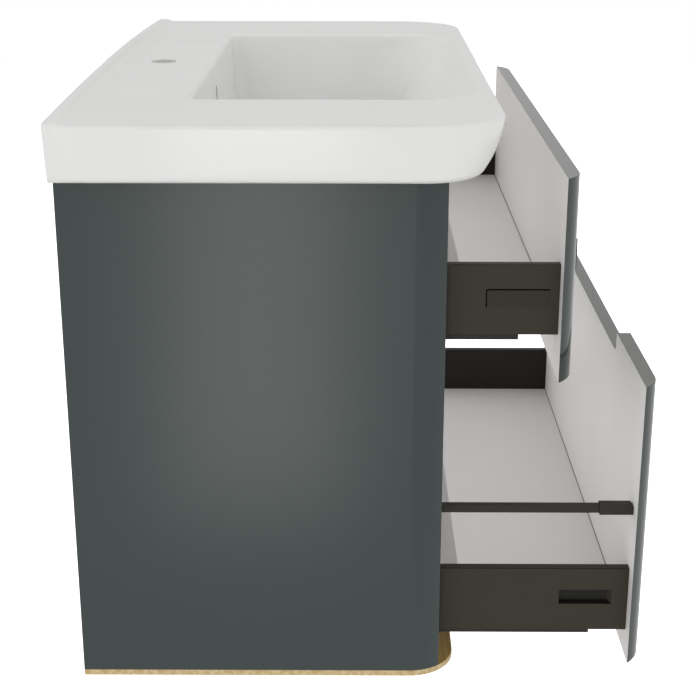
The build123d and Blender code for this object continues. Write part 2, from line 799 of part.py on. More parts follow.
def washbasin():
    """The ceramic basin in one piece."""
    outer, channel = overflow_duct()
    body = soften_outside(basin_outer() - lip_cut())
    body = body - basin_hollow()
    body += bowl_outside()
    body += outer
    body -= bowl_inside()
    body -= channel
    for hole in basin_holes():
        body -= hole
    return soften_bowl(body)


# Assembly

def build_drawer(name, side_z, window, back_height):
    """Everything that both drawers have, closed: pieces by node name."""
    pieces = {}
    left = {
        "drawer_side": metal_side(side_z, *window),
        "front_bracket": front_bracket(side_z),
        "back_fixing": back_fixing(side_z, back_height),
        "runner_drawer_member": drawer_member(side_z),
    }
    for kind, shape in left.items():
        pieces[f"{kind}_{name}_left"] = shape
        pieces[f"{kind}_{name}_right"] = other_side(shape)
    pieces[f"drawer_bottom_{name}"] = drawer_bottom(side_z, drawer_rear_y - back_fixing_thick)
    pieces[f"drawer_back_{name}"] = drawer_back(side_z, back_height)
    return pieces


def add_front(pieces, name, front, side_z):
    """Put the front on a drawer and screw its brackets to it."""
    screws = []
    length = bracket_flange + front_thick - screw_tip_cover
    for point in bracket_screw_points(side_z):
        screw = wood_screw(point, (0, -1, 0), length)
        hole = wood_screw_hole(point, (0, -1, 0), length)
        front = front - hole - other_side(hole)
        left_name, right_name = f"front_bracket_{name}_left", f"front_bracket_{name}_right"
        pieces[left_name] -= hole
        pieces[right_name] -= other_side(hole)
        screws += [screw, other_side(screw)]
    pieces[f"drawer_front_{name}"] = front
    pieces[f"front_screws_{name}"] = screws


def build_upper_drawer():
    """Upper drawer: capped windows and a cut-out for the waste trap."""
    window = (cap_length, cap_height, cap_from_front)
    pieces = build_drawer("upper", upper_side_z, window, metal_height)
    cut = extrude(Pos(0, 0, upper_side_z - past) * trap_outline(0), metal_height + 2 * past)
    pieces["drawer_bottom_upper"] -= cut
    pieces["drawer_back_upper"] -= cut
    pieces["trap_surround"] = trap_surround(upper_side_z)
    cap = cover_cap(upper_side_z)
    pieces["cover_cap_left"] = cap
    pieces["cover_cap_right"] = other_side(cap)
    add_front(pieces, "upper", upper_front(), upper_side_z)
    return pieces


def build_lower_drawer():
    """Lower drawer: open windows, a tall back and a gallery rail on each side."""
    window = (slot_length, slot_height, slot_from_front)
    pieces = build_drawer("lower", lower_side_z, window, lower_back_height)
    rail, bracket = gallery_rail(lower_side_z), gallery_bracket(lower_side_z)
    pieces["gallery_rail_left"] = rail
    pieces["gallery_rail_right"] = other_side(rail)
    pieces["gallery_bracket_left"] = bracket
    pieces["gallery_bracket_right"] = other_side(bracket)
    add_front(pieces, "lower", lower_front(), lower_side_z)
    return pieces


def moved(shape, y):
    """A shape or a list of shapes moved along Y."""
    if isinstance(shape, list):
        return [moved(one, y) for one in shape]
    return Pos(0, y, 0) * shape


def build():
    """All pieces by node name, each a shape or a list of separate solids."""
    boards, left_panel, base, cams, bolts, plate_screws = build_carcass()
    nodes = dict(boards)
    nodes["base_plate"] = base
    nodes["cam_locks"] = cams
    nodes["cam_bolts"] = bolts
    nodes["base_plate_screws"] = plate_screws
    nodes["washbasin"] = washbasin()

    hanger = cabinet_hanger()
    housing_mid = hang_height - wall_rail_height / 2 + hanger_height / 2
    screws = []
    for _, screw, hole in hanger_screws(housing_mid):
        hanger -= hole
        left_panel -= hole
        screws += [screw, other_side(screw)]
    nodes["hanger_left"] = hanger
    nodes["hanger_right"] = other_side(hanger)
    nodes["hanger_screws"] = screws
    nodes["wall_rail"] = wall_rail()

    fixings = []
    drawers = {"upper": (upper_side_z, upper_open), "lower": (lower_side_z, lower_open)}
    for name, (side_z, opened) in drawers.items():
        member, middle = cabinet_member(side_z), moved(middle_member(side_z), -opened / 2)
        for screw, hole in runner_screws(side_z):
            left_panel -= hole
            member -= hole
            fixings += [screw, other_side(screw)]
        nodes[f"runner_cabinet_member_{name}_left"] = member
        nodes[f"runner_cabinet_member_{name}_right"] = other_side(member)
        nodes[f"runner_middle_member_{name}_left"] = middle
        nodes[f"runner_middle_member_{name}_right"] = other_side(middle)
        pieces = build_upper_drawer() if name == "upper" else build_lower_drawer()
        nodes.update({node: moved(shape, -opened) for node, shape in pieces.items()})
    nodes["runner_screws"] = fixings
    nodes["side_panel_left"] = left_panel
    nodes["side_panel_right"] = other_side(left_panel)
    return nodes


def write(nodes):
    """Write one STEP file per node, with the wall rail's screw line as the origin."""
    os.makedirs("parts", exist_ok=True)
    for name, shape in nodes.items():
        solids = []
        for one in shape if isinstance(shape, list) else [shape]:
            solids += (Pos(0, 0, -hang_height) * one).solids()
        whole = solids[0] if len(solids) == 1 else Compound(children=solids)
        whole.label = name
        export_step(whole, f"parts/{name}.step")
        print(f"{name}: {len(solids)} solid(s)")


write(build())
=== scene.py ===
"""Looks of a wall-hung vanity unit: a glazed washbasin on a lacquered cabinet with two open drawers.

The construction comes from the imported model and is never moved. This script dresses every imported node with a
procedural finish, adds the thin trims that only show, and sets a camera and lamps in a plain studio.
"""

import logging
import math
from dataclasses import dataclass, field
from enum import Enum

import bpy
from mathutils import Matrix, Vector

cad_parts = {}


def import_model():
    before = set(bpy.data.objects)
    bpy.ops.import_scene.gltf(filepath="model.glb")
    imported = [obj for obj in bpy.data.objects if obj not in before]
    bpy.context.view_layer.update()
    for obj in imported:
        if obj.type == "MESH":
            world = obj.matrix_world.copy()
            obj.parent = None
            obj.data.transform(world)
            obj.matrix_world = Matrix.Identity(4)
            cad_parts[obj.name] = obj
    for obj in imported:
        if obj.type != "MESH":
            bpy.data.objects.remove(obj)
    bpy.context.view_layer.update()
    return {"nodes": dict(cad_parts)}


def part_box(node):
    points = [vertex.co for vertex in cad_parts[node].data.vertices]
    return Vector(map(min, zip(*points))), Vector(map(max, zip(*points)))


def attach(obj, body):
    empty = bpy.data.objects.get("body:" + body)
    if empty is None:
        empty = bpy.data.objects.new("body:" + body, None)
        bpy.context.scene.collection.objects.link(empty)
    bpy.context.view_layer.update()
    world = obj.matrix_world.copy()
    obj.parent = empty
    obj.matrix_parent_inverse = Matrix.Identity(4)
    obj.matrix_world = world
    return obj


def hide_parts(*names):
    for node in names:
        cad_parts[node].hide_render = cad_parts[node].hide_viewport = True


MM = 0.001
# Nearly every value of a noise texture lies between these two
NOISE_LOW, NOISE_HIGH = 0.3, 0.7
# Corners of each side of a box, turned outwards. They are counted with Z fastest and X slowest
BOX_SIDES = ((0, 1, 3, 2), (4, 6, 7, 5), (0, 4, 5, 1), (2, 3, 7, 6), (0, 2, 6, 4), (1, 5, 7, 3))
log = logging.getLogger("vanity")


class Side(Enum):
    """Which half of the unit a piece belongs to."""

    LEFT = "left"
    RIGHT = "right"

    @property
    def sign(self) -> int:
        """-1 for the left half, at negative X, and 1 for the right."""
        return -1 if self is Side.LEFT else 1


class Level(Enum):
    """The two drawers."""

    UPPER = "upper"
    LOWER = "lower"

    @property
    def body(self) -> str:
        """Name of the body that the drawer's pieces move with."""
        return f"drawer_{self.value}"


def linear(hex_colour: str) -> tuple[float, float, float, float]:
    """Turn an sRGB hex colour into a linear one.

    Args:
        hex_colour: Six hex digits after a hash sign.

    Returns:
        Linear red, green, blue and an alpha of 1.
    """
    channels = [int(hex_colour[i:i + 2], 16) / 255 for i in (1, 3, 5)]
    red, green, blue = [c / 12.92 if c <= 0.04045 else ((c + 0.055) / 1.055) ** 2.4 for c in channels]
    return (red, green, blue, 1.0)


def repeats(size_mm: float) -> float:
    """Texture scale, in repeats a metre, of a pattern of the given size in millimetres."""
    return 1 / (size_mm * MM)


def add_node(tree: bpy.types.NodeTree, kind: str, inputs: dict | None = None,
             **settings: object) -> bpy.types.Node:
    """Add a shader node with its settings, values and links.

    Args:
        tree: The node tree to add to.
        kind: The node's type name, without its leading "ShaderNode".
        inputs: Socket name or index to the value it holds, or to the output socket that feeds it.
        settings: Attributes of the node itself.

    Returns:
        The new node.
    """
    node = tree.nodes.new(f"ShaderNode{kind}")
    for name, value in settings.items():
        setattr(node, name, value)
    for key, value in (inputs or {}).items():
        if isinstance(value, bpy.types.NodeSocket):
            tree.links.new(value, node.inputs[key])
        else:
            node.inputs[key].default_value = value
    return node


@dataclass(frozen=True)
class Finish:
    """Base of all finishes: a material with one Principled surface.

    The roughness is a mean, and rough_span gives its lowest and highest share over the surface.
    """

    name: str
    roughness: float = 0.5
    rough_span: tuple[float, float] = (0.9, 1.1)

    def start(self) -> tuple[bpy.types.Material, bpy.types.NodeTree, bpy.types.NodeSocket]:
        """Start the material.

        Returns:
            The material, its node tree, and the place on the piece in metres, which moves with it.
        """
        material = bpy.data.materials.new(self.name)
        material.use_nodes = True
        tree = material.node_tree
        return material, tree, add_node(tree, "TexCoord").outputs["Object"]

    def rough_limits(self) -> dict[str, float]:
        """Limits between which a noise spreads the roughness."""
        low, high = self.rough_span
        return {"From Min": NOISE_LOW, "From Max": NOISE_HIGH,
                "To Min": self.roughness * low, "To Max": self.roughness * high}

    @staticmethod
    def feed(tree: bpy.types.NodeTree, **inputs: object) -> None:
        """Set or link inputs of the Principled surface.

        Args:
            tree: The material's node tree.
            inputs: Socket name, with _ for each space, to its value or to the output that feeds it.
        """
        surface = tree.nodes["Principled BSDF"]
        for name, value in inputs.items():
            socket = surface.inputs[name.replace("_", " ")]
            if isinstance(value, bpy.types.NodeSocket):
                tree.links.new(value, socket)
            else:
                socket.default_value = value


@dataclass(frozen=True)
class GlazedCeramic(Finish):
    """Vitreous china, slip cast, glazed and fired: a glassy white skin that waves very slightly."""

    name: str = "ceramic_white_glazed"
    colour: str = "#e4e4e3"
    thin_glaze: str = "#e1e1df"
    roughness: float = 0.16
    rough_span: tuple[float, float] = (0.9, 1.15)
    ior: float = 1.5
    pool_mm: float = 90.0
    wave_depth_mm: float = 0.12

    def build(self) -> bpy.types.Material:
        """Make the material. The glaze pools unevenly, so reflections bend a little.

        Returns:
            The material.
        """
        material, tree, place = self.start()
        pool = add_node(tree, "TexNoise", {"Vector": place, "Scale": repeats(self.pool_mm),
                                           "Detail": 1.0}).outputs["Fac"]
        tone = add_node(tree, "Mix", {"Factor": pool, 6: linear(self.thin_glaze), 7: linear(self.colour)},
                        data_type="RGBA")
        wave = add_node(tree, "Bump", {"Height": pool, "Strength": 0.3, "Distance": self.wave_depth_mm * MM})
        rough = add_node(tree, "MapRange", {"Value": pool, **self.rough_limits()})
        self.feed(tree, Base_Color=tone.outputs[2], Roughness=rough.outputs[0],
                  Normal=wave.outputs[0], IOR=self.ior)
        return material


@dataclass(frozen=True)
class SprayedLacquer(Finish):
    """Polyurethane lacquer sprayed on board: a deep even colour with a soft satin sheen."""

    name: str = "lacquer_green_grey_sprayed"
    colour: str = "#2c3635"
    thin_coat: str = "#303a39"
    roughness: float = 0.23
    rough_span: tuple[float, float] = (0.94, 1.06)
    ior: float = 1.5
    specular: float = 0.5
    cloud_mm: float = 240.0
    peel_mm: float = 2.2
    peel_depth_mm: float = 0.002

    def build(self) -> bpy.types.Material:
        """Make the material.

        Returns:
            The material.
        """
        material, tree, place = self.start()
        cloud = add_node(tree, "TexNoise", {"Vector": place, "Scale": repeats(self.cloud_mm),
                                            "Detail": 1.0}).outputs["Fac"]
        coat = add_node(tree, "Mix", {"Factor": cloud, 6: linear(self.colour), 7: linear(self.thin_coat)},
                        data_type="RGBA").outputs[2]
        # Sprayed lacquer dries with a fine orange peel, only just seen in its sheen
        peel = add_node(tree, "TexNoise", {"Vector": place, "Scale": repeats(self.peel_mm),
                                           "Detail": 0.0}).outputs["Fac"]
        skin = add_node(tree, "Bump", {"Height": peel, "Strength": 0.5, "Distance": self.peel_depth_mm * MM})
        sheen = add_node(tree, "MapRange", {"Value": peel, **self.rough_limits()}).outputs[0]
        tone, rough = self.cover(tree, cloud, coat, sheen)
        self.feed(tree, Base_Color=tone, Roughness=rough, Normal=skin.outputs[0], IOR=self.ior,
                  Specular_IOR_Level=self.specular)
        return material

    def cover(self, tree: bpy.types.NodeTree, cloud: bpy.types.NodeSocket, coat: bpy.types.NodeSocket,
              sheen: bpy.types.NodeSocket) -> tuple[bpy.types.NodeSocket, bpy.types.NodeSocket]:
        """Colour and roughness of the whole board, which here are the coat's own."""
        return coat, sheen


@dataclass(frozen=True)
class FrontLacquer(SprayedLacquer):
    """Lacquered board with a white matt inner face: a sharper sheen outside, and a painted highlight on its
    upper edge.
    """

    name: str = "front_lacquered_white_inside_edge_highlight"
    colour: str = "#26302f"
    thin_coat: str = "#2a3433"
    roughness: float = 0.09
    inside: str = "#e9e6e4"
    inside_shade: str = "#e0dedc"
    inside_roughness: float = 0.55
    inside_facing: float = 0.9
    # Painted highlight: the colour of faces that look up
    painted_edge_highlight: str = "#6a6d69"
    highlight_facing: tuple[float, float] = (0.5, 0.9)

    def cover(self, tree: bpy.types.NodeTree, cloud: bpy.types.NodeSocket, coat: bpy.types.NodeSocket,
              sheen: bpy.types.NodeSocket) -> tuple[bpy.types.NodeSocket, bpy.types.NodeSocket]:
        """Paint a highlight on faces that look up, and lay white on faces that look towards the wall.

        Args:
            tree: The material's node tree.
            cloud: Slow variation over the board.
            coat: Colour of the outer coat.
            sheen: Roughness of the outer coat.

        Returns:
            Colour and roughness of the whole board.
        """
        facing = add_node(tree, "SeparateXYZ", {"Vector": add_node(tree, "TexCoord").outputs["Normal"]})
        # Faces that look up are painted lighter: a painted highlight on the fronts' upper edges
        upper = add_node(tree, "MapRange", {"Value": facing.outputs["Z"], "From Min": self.highlight_facing[0],
                                            "From Max": self.highlight_facing[1]}).outputs[0]
        outside = add_node(tree, "Mix", {"Factor": upper, 6: coat, 7: linear(self.painted_edge_highlight)},
                           data_type="RGBA").outputs[2]
        white = add_node(tree, "Mix", {"Factor": cloud, 6: linear(self.inside), 7: linear(self.inside_shade)},
                         data_type="RGBA").outputs[2]
        inner = add_node(tree, "Math", {0: facing.outputs["Y"], 1: self.inside_facing},
                         operation="GREATER_THAN").outputs[0]
        tone = add_node(tree, "Mix", {"Factor": inner, 6: outside, 7: white}, data_type="RGBA").outputs[2]
        rough = add_node(tree, "Mix", {0: inner, 2: sheen, 3: self.inside_roughness}).outputs[0]
        return tone, rough


@dataclass(frozen=True)
class MelamineBoard(Finish):
    """Chipboard faced with white melamine paper, pressed on a pearl plate: a quiet matt sheen."""

    name: str = "melamine_white_pressed"
    colour: str = "#dad7d7"
    shade: str = "#d6d3d2"
    roughness: float = 0.45
    cloud_mm: float = 260.0
    # The pressed pearl grain is about 0.4 mm, too fine to show, so it is drawn at 1.6 mm
    pearl_mm: float = 1.6
    pearl_depth_mm: float = 0.05

    def build(self) -> bpy.types.Material:
        """Make the material.

        Returns:
            The material.
        """
        material, tree, place = self.start()
        cloud = add_node(tree, "TexNoise", {"Vector": place, "Scale": repeats(self.cloud_mm),
                                            "Detail": 2.0}).outputs["Fac"]
        tone = add_node(tree, "Mix", {"Factor": cloud, 6: linear(self.colour), 7: linear(self.shade)},
                        data_type="RGBA")
        pearl = add_node(tree, "TexNoise", {"Vector": place, "Scale": repeats(self.pearl_mm),
                                            "Detail": 2.0}).outputs["Fac"]
        grain = add_node(tree, "Bump", {"Height": pearl, "Strength": 0.2,
                                        "Distance": self.pearl_depth_mm * MM})
        rough = add_node(tree, "MapRange", {"Value": pearl, **self.rough_limits()})
        self.feed(tree, Base_Color=tone.outputs[2], Roughness=rough.outputs[0], Normal=grain.outputs[0])
        return material


@dataclass(frozen=True)
class OiledOak(Finish):
    """Oak, planed, sanded and oiled: long grain along the width, fine dark pores, and a darker golden painted
    shade on its upper face.
    """

    name: str = "oak_oiled_planed_shaded_top"
    light: str = "#d2bd93"
    dark: str = "#b89c69"
    # Painted shade: the colours of faces that look up, darker and more golden than the edges
    face: str = "#ad8c43"
    top_shade_dark: str = "#7c6329"
    top_shade_facing: tuple[float, float] = (0.7, 0.95)
    pore: str = "#6f5730"
    ring_mm: float = 7.0
    ring_span: tuple[float, float] = (0.35, 0.65)
    # Oak's pores are about 0.3 mm wide, too fine to show, so they are drawn at 0.8 mm
    pore_mm: float = 0.8
    pore_span: tuple[float, float] = (0.56, 0.72)
    pore_share: float = 0.5
    pore_depth_mm: float = 0.1
    # Grain runs along X, so its pattern is drawn out some 33 times that way
    stretch: float = 0.03

    def build(self) -> bpy.types.Material:
        """Make the material. Faces that look up take a darker, more golden painted shade.

        Returns:
            The material.
        """
        material, tree, place = self.start()
        along = add_node(tree, "Mapping", {"Vector": place, "Scale": (self.stretch, 1.0, 1.0)}).outputs[0]
        rings = add_node(tree, "TexNoise", {"Vector": along, "Scale": repeats(self.ring_mm), "Detail": 3.0,
                                            "Roughness": 0.6}).outputs["Fac"]
        pores = add_node(tree, "TexNoise", {"Vector": along, "Scale": repeats(self.pore_mm),
                                            "Detail": 2.0}).outputs["Fac"]
        year = add_node(tree, "MapRange", {"Value": rings, "From Min": self.ring_span[0],
                                           "From Max": self.ring_span[1]}).outputs[0]
        edge = add_node(tree, "Mix", {"Factor": year, 6: linear(self.light), 7: linear(self.dark)},
                        data_type="RGBA").outputs[2]
        # Painted shade on the faces that look up
        top = add_node(tree, "Mix", {"Factor": year, 6: linear(self.face), 7: linear(self.top_shade_dark)},
                       data_type="RGBA").outputs[2]
        facing = add_node(tree, "SeparateXYZ", {"Vector": add_node(tree, "TexCoord").outputs["Normal"]})
        upper = add_node(tree, "MapRange", {"Value": facing.outputs["Z"], "From Min": self.top_shade_facing[0],
                                            "From Max": self.top_shade_facing[1]}).outputs[0]
        wood = add_node(tree, "Mix", {"Factor": upper, 6: edge, 7: top}, data_type="RGBA").outputs[2]
        open_pores = add_node(tree, "MapRange", {"Value": pores, "From Min": self.pore_span[0],
                                                 "From Max": self.pore_span[1],
                                                 "To Max": self.pore_share}).outputs[0]
        tone = add_node(tree, "Mix", {"Factor": open_pores, 6: wood, 7: linear(self.pore)}, data_type="RGBA")
        grain = add_node(tree, "Bump", {"Height": pores, "Strength": 0.3,
                                        "Distance": self.pore_depth_mm * MM})
        self.feed(tree, Base_Color=tone.outputs[2], Roughness=self.roughness, Normal=grain.outputs[0])
        return material


@dataclass(frozen=True)
class PowderCoat(Finish):
    """Polyester powder sprayed on steel and baked: a fine grain and a low broad sheen."""

    name: str = "steel_anthracite_powder_coated_shaded_inside"
    colour: str = "#2f2a21"
    speck: str = "#353026"
    speck_span: tuple[float, float] = (0.4, 0.7)
    # Painted shade on the faces that look into the drawer or up, where given
    inner: str | None = None
    inner_shade_facing: float = 0.5
    roughness: float = 0.45
    specular: float = 0.28
    # The powder's grain is about 0.3 mm, too fine to show, so it is drawn at 1 mm
    grain_mm: float = 1.0
    grain_depth_mm: float = 0.04

    def build(self) -> bpy.types.Material:
        """Make the material. Where an inner colour is given, faces that look into the drawer or up take it as a
        painted shade.

        Returns:
            The material.
        """
        material, tree, place = self.start()
        grain = add_node(tree, "TexNoise", {"Vector": place, "Scale": repeats(self.grain_mm),
                                            "Detail": 2.0}).outputs["Fac"]
        fleck = add_node(tree, "MapRange", {"Value": grain, "From Min": self.speck_span[0],
                                            "From Max": self.speck_span[1]}).outputs[0]
        tone = add_node(tree, "Mix", {"Factor": fleck, 6: linear(self.colour), 7: linear(self.speck)},
                        data_type="RGBA").outputs[2]
        # Painted shade on the faces that look into the drawer or up
        if self.inner is not None:
            tone = add_node(tree, "Mix", {"Factor": self.shaded_faces(tree, place), 6: tone,
                                          7: linear(self.inner)}, data_type="RGBA").outputs[2]
        rough = add_node(tree, "MapRange", {"Value": grain, **self.rough_limits()})
        skin = add_node(tree, "Bump", {"Height": grain, "Strength": 0.2,
                                       "Distance": self.grain_depth_mm * MM})
        self.feed(tree, Base_Color=tone, Roughness=rough.outputs[0], Normal=skin.outputs[0],
                  Specular_IOR_Level=self.specular)
        return material

    def shaded_faces(self, tree: bpy.types.NodeTree, place: bpy.types.NodeSocket) -> bpy.types.NodeSocket:
        """Tell the faces that take the painted shade, those that look up or towards the middle plane X = 0, from
        the others.

        Args:
            tree: The material's node tree.
            place: Place on the piece.

        Returns:
            1 on those faces and 0 elsewhere.
        """
        where = add_node(tree, "SeparateXYZ", {"Vector": place})
        facing = add_node(tree, "SeparateXYZ", {"Vector": add_node(tree, "TexCoord").outputs["Normal"]})
        half = add_node(tree, "Math", {0: where.outputs["X"]}, operation="SIGN")
        outward = add_node(tree, "Math", {0: half.outputs[0], 1: facing.outputs["X"]}, operation="MULTIPLY")
        inner = add_node(tree, "Math", {0: outward.outputs[0], 1: -self.inner_shade_facing}, operation="LESS_THAN")
        upper = add_node(tree, "Math", {0: facing.outputs["Z"], 1: self.inner_shade_facing},
                         operation="GREATER_THAN")
        return add_node(tree, "Math", {0: inner.outputs[0], 1: upper.outputs[0]},
                        operation="MAXIMUM").outputs[0]


@dataclass(frozen=True)
class ZincCoatedSteel(Finish):
    """Rolled sheet steel, hot-dip galvanised: bare metal with faint crystals and rolling lines."""

    name: str = "steel_galvanised_rolled"
    colour: str = "#b8b8b5"
    dull: str = "#a8a8a5"
    roughness: float = 0.36
    rough_span: tuple[float, float] = (0.85, 1.2)
    crystal_mm: float = 6.0
    # Rolling lines are about 0.1 mm wide, too fine to show, so they are drawn at 0.8 mm
    line_mm: float = 0.8
    line_depth_mm: float = 0.03
    # Lines run along Y, the length of the runners, so their pattern is drawn out 50 times that way
    stretch: float = 0.02

    def build(self) -> bpy.types.Material:
        """Make the material.

        Returns:
            The material.
        """
        material, tree, place = self.start()
        crystals = add_node(tree, "TexVoronoi", {"Vector": place, "Scale": repeats(self.crystal_mm)})
        flake = add_node(tree, "SeparateColor", {0: crystals.outputs["Color"]}).outputs[0]
        tone = add_node(tree, "Mix", {"Factor": flake, 6: linear(self.colour), 7: linear(self.dull)},
                        data_type="RGBA")
        along = add_node(tree, "Mapping", {"Vector": place, "Scale": (1.0, self.stretch, 1.0)}).outputs[0]
        lines = add_node(tree, "TexNoise", {"Vector": along, "Scale": repeats(self.line_mm),
                                            "Detail": 2.0}).outputs["Fac"]
        rough = add_node(tree, "MapRange", {"Value": lines, **self.rough_limits()})
        skin = add_node(tree, "Bump", {"Height": lines, "Strength": 0.15,
                                       "Distance": self.line_depth_mm * MM})
        self.feed(tree, Base_Color=tone.outputs[2], Roughness=rough.outputs[0], Normal=skin.outputs[0],
                  Metallic=1.0)
        return material


@dataclass(frozen=True)
class MouldedPlastic(Finish):
    """Injection-moulded ABS from a spark-eroded mould: even colour and a fine matt grain."""

    name: str = "abs_anthracite_moulded"
    colour: str = "#2e2921"
    shade: str = "#2b261f"
    specular: float = 0.28
    flow_mm: float = 62.5
    # The eroded grain is about 0.2 mm, too fine to show, so it is drawn at 1.1 mm
    grain_mm: float = 1.1
    grain_depth_mm: float = 0.04

    def build(self) -> bpy.types.Material:
        """Make the material.

        Returns:
            The material.
        """
        material, tree, place = self.start()
        flow = add_node(tree, "TexNoise", {"Vector": place, "Scale": repeats(self.flow_mm),
                                           "Detail": 1.0}).outputs["Fac"]
        tone = add_node(tree, "Mix", {"Factor": flow, 6: linear(self.colour), 7: linear(self.shade)},
                        data_type="RGBA")
        grain = add_node(tree, "TexNoise", {"Vector": place, "Scale": repeats(self.grain_mm),
                                            "Detail": 3.0}).outputs["Fac"]
        rough = add_node(tree, "MapRange", {"Value": grain, **self.rough_limits()})
        skin = add_node(tree, "Bump", {"Height": grain, "Strength": 0.15,
                                       "Distance": self.grain_depth_mm * MM})
        self.feed(tree, Base_Color=tone.outputs[2], Roughness=rough.outputs[0], Normal=skin.outputs[0],
                  Specular_IOR_Level=self.specular)
        return material


@dataclass(frozen=True)
class StudioPaint(Finish):
    """Matt white emulsion, rolled on the studio floor: even and pale, and near white to the camera."""

    name: str = "studio_floor_pale"
    colour: str = "#f4f4f4"
    roughness: float = 0.9
    glow: float = 0.8

    def build(self) -> bpy.types.Material:
        """Make the material. It glows to the camera alone, so it lights nothing.

        Returns:
            The material.
        """
        material, tree, _ = self.start()
        path = add_node(tree, "LightPath")
        glow = add_node(tree, "MapRange", {"Value": path.outputs["Is Camera Ray"], "To Max": self.glow})
        self.feed(tree, Base_Color=linear(self.colour), Roughness=self.roughness,
                  Emission_Color=linear("#ffffff"), Emission_Strength=glow.outputs[0])
        return material


class Look(Enum):
    """Every finish on the unit."""

    CERAMIC = GlazedCeramic()
    PANEL = SprayedLacquer()
    FRONT = FrontLacquer()
    BOARD = MelamineBoard()
    OAK = OiledOak()
    # The faces that look into the drawer, and those that look up, take a near-black painted shade
    DRAWER_SIDE = PowderCoat(inner="#1c1a16")
    # The rail's inward and upper faces take a near-black painted shade as well
    RAIL = PowderCoat(name="rail_anthracite_powder_coated_shaded_inside", colour="#282620", speck="#2d2a25",
                      inner="#16140f")
    # Black coats, as matt as the drawer sides' own
    RUNNER = PowderCoat(name="runner_steel_black_coated", colour="#26241f", speck="#2e2b26")
    # The bracket's black coat is made darker still, to paint the shade inside the lower sides' windows
    DARK_BRACKET = PowderCoat(name="bracket_steel_black_coated_and_shaded", colour="#0e0c09", speck="#12100c")
    CAP = MouldedPlastic()
    # Extruded PVC strip, with the same dull skin as a moulded piece
    SEAL = MouldedPlastic(name="pvc_grey_extruded", colour="#7a7570", shade="#726e69", specular=0.5)
    SURROUND = MouldedPlastic(name="abs_light_grey_moulded", colour="#d2d1cf", shade="#cbcac8", specular=0.5)
    GALVANISED = ZincCoatedSteel()
    # Electroplated: smoother than galvanised sheet, and with finer crystals
    ZINC_PLATED = ZincCoatedSteel(name="screws_zinc_plated", colour="#c6c3ba", dull="#b8b5ac",
                                  roughness=0.28, crystal_mm=3.0)


def new_piece(name: str, vertices: list[tuple], faces: list[tuple]) -> bpy.types.Object:
    """Add an object with a mesh.

    Args:
        name: Name of the object and its mesh.
        vertices: Places of the vertices, in metres.
        faces: Vertex numbers of each face.

    Returns:
        The new object.
    """
    mesh = bpy.data.meshes.new(name)
    mesh.from_pydata(vertices, [], faces)
    piece = bpy.data.objects.new(name, mesh)
    bpy.context.scene.collection.objects.link(piece)
    return piece


def boxes(name: str, spans: list[tuple[tuple, tuple]]) -> bpy.types.Object:
    """Add an object made of upright boxes.

    Args:
        name: Name of the object.
        spans: Two opposite corners of each box, in metres.

    Returns:
        The new object, with its faces turned outwards.
    """
    vertices, faces = [], []
    for first, second in spans:
        lo = [min(a, b) for a, b in zip(first, second)]
        hi = [max(a, b) for a, b in zip(first, second)]
        start = len(vertices)
        vertices += [(x, y, z) for x in (lo[0], hi[0]) for y in (lo[1], hi[1]) for z in (lo[2], hi[2])]
        faces += [tuple(start + corner for corner in side) for side in BOX_SIDES]
    return new_piece(name, vertices, faces)


@dataclass(frozen=True)
class CoverCap:
    """Snap-in cap of a drawer side's window: laps its foot and front, and leaves a groove at top and rear."""

    proud: float = 0.15 * MM
    plate: float = 1.2 * MM
    gap: float = 0.5 * MM
    lap: float = 0.4 * MM
    groove: float = 1.7 * MM
    boss_margin: float = 5.0 * MM

    def build(self, packed: bpy.types.Object, side: Side) -> bpy.types.Object:
        """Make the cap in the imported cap's place.

        Args:
            packed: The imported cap.
            side: The unit's half that it is on.

        Returns:
            The new cap, which rides on the upper drawer.
        """
        lo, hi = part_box(packed.name)
        outer, inner = (lo.x, hi.x) if side is Side.LEFT else (hi.x, lo.x)
        front, rear = lo.y - self.gap - self.lap, hi.y + self.gap - self.groove
        bottom, top = lo.z - self.gap - self.lap, hi.z + self.gap - self.groove
        back = outer - side.sign * self.plate
        margin = self.boss_margin
        cap = boxes(f"cap_{side.value}", [
            ((outer + side.sign * self.proud, front, bottom), (back, rear, top)),
            ((back, lo.y + margin, lo.z + margin), (inner, hi.y - margin, hi.z - margin)),
        ])
        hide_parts(packed.name)
        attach(cap, Level.UPPER.body)
        return cap


@dataclass(frozen=True)
class WindowTray:
    """Dark recess behind the open window of a lower drawer side, paler at its mitred front end."""

    length: float = 65.0 * MM
    height: float = 19.5 * MM
    from_front: float = 20.0 * MM
    top: float = 55.0 * MM
    depth: float = 6.5 * MM
    wall: float = 1.0 * MM
    mitre: float = 5.0 * MM

    def build(self, drawer_side: bpy.types.Object, side: Side) -> bpy.types.Object:
        """Make the recess.

        Args:
            drawer_side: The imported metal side.
            side: The unit's half that it is on.

        Returns:
            The recess, which rides on the lower drawer. Its front end is its last face.
        """
        lo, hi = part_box(drawer_side.name)
        outer = lo.x if side is Side.LEFT else hi.x
        mouth, floor = outer - side.sign * self.wall, outer - side.sign * self.depth
        front, top = lo.y + self.from_front, lo.z + self.top
        rear, bottom = front + self.length, top - self.height
        rim = [(mouth, front, bottom), (mouth, rear, bottom), (mouth, rear, top), (mouth, front, top)]
        base = [(floor, front + self.mitre, bottom + self.mitre / 2), (floor, rear, bottom + self.mitre / 2),
                (floor, rear, top - self.mitre / 2), (floor, front + self.mitre, top - self.mitre / 2)]
        tray = new_piece(f"window_tray_{side.value}", rim + base,
                         [(4, 5, 6, 7), (0, 1, 5, 4), (1, 2, 6, 5), (2, 3, 7, 6), (3, 0, 4, 7)])
        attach(tray, Level.LOWER.body)
        return tray


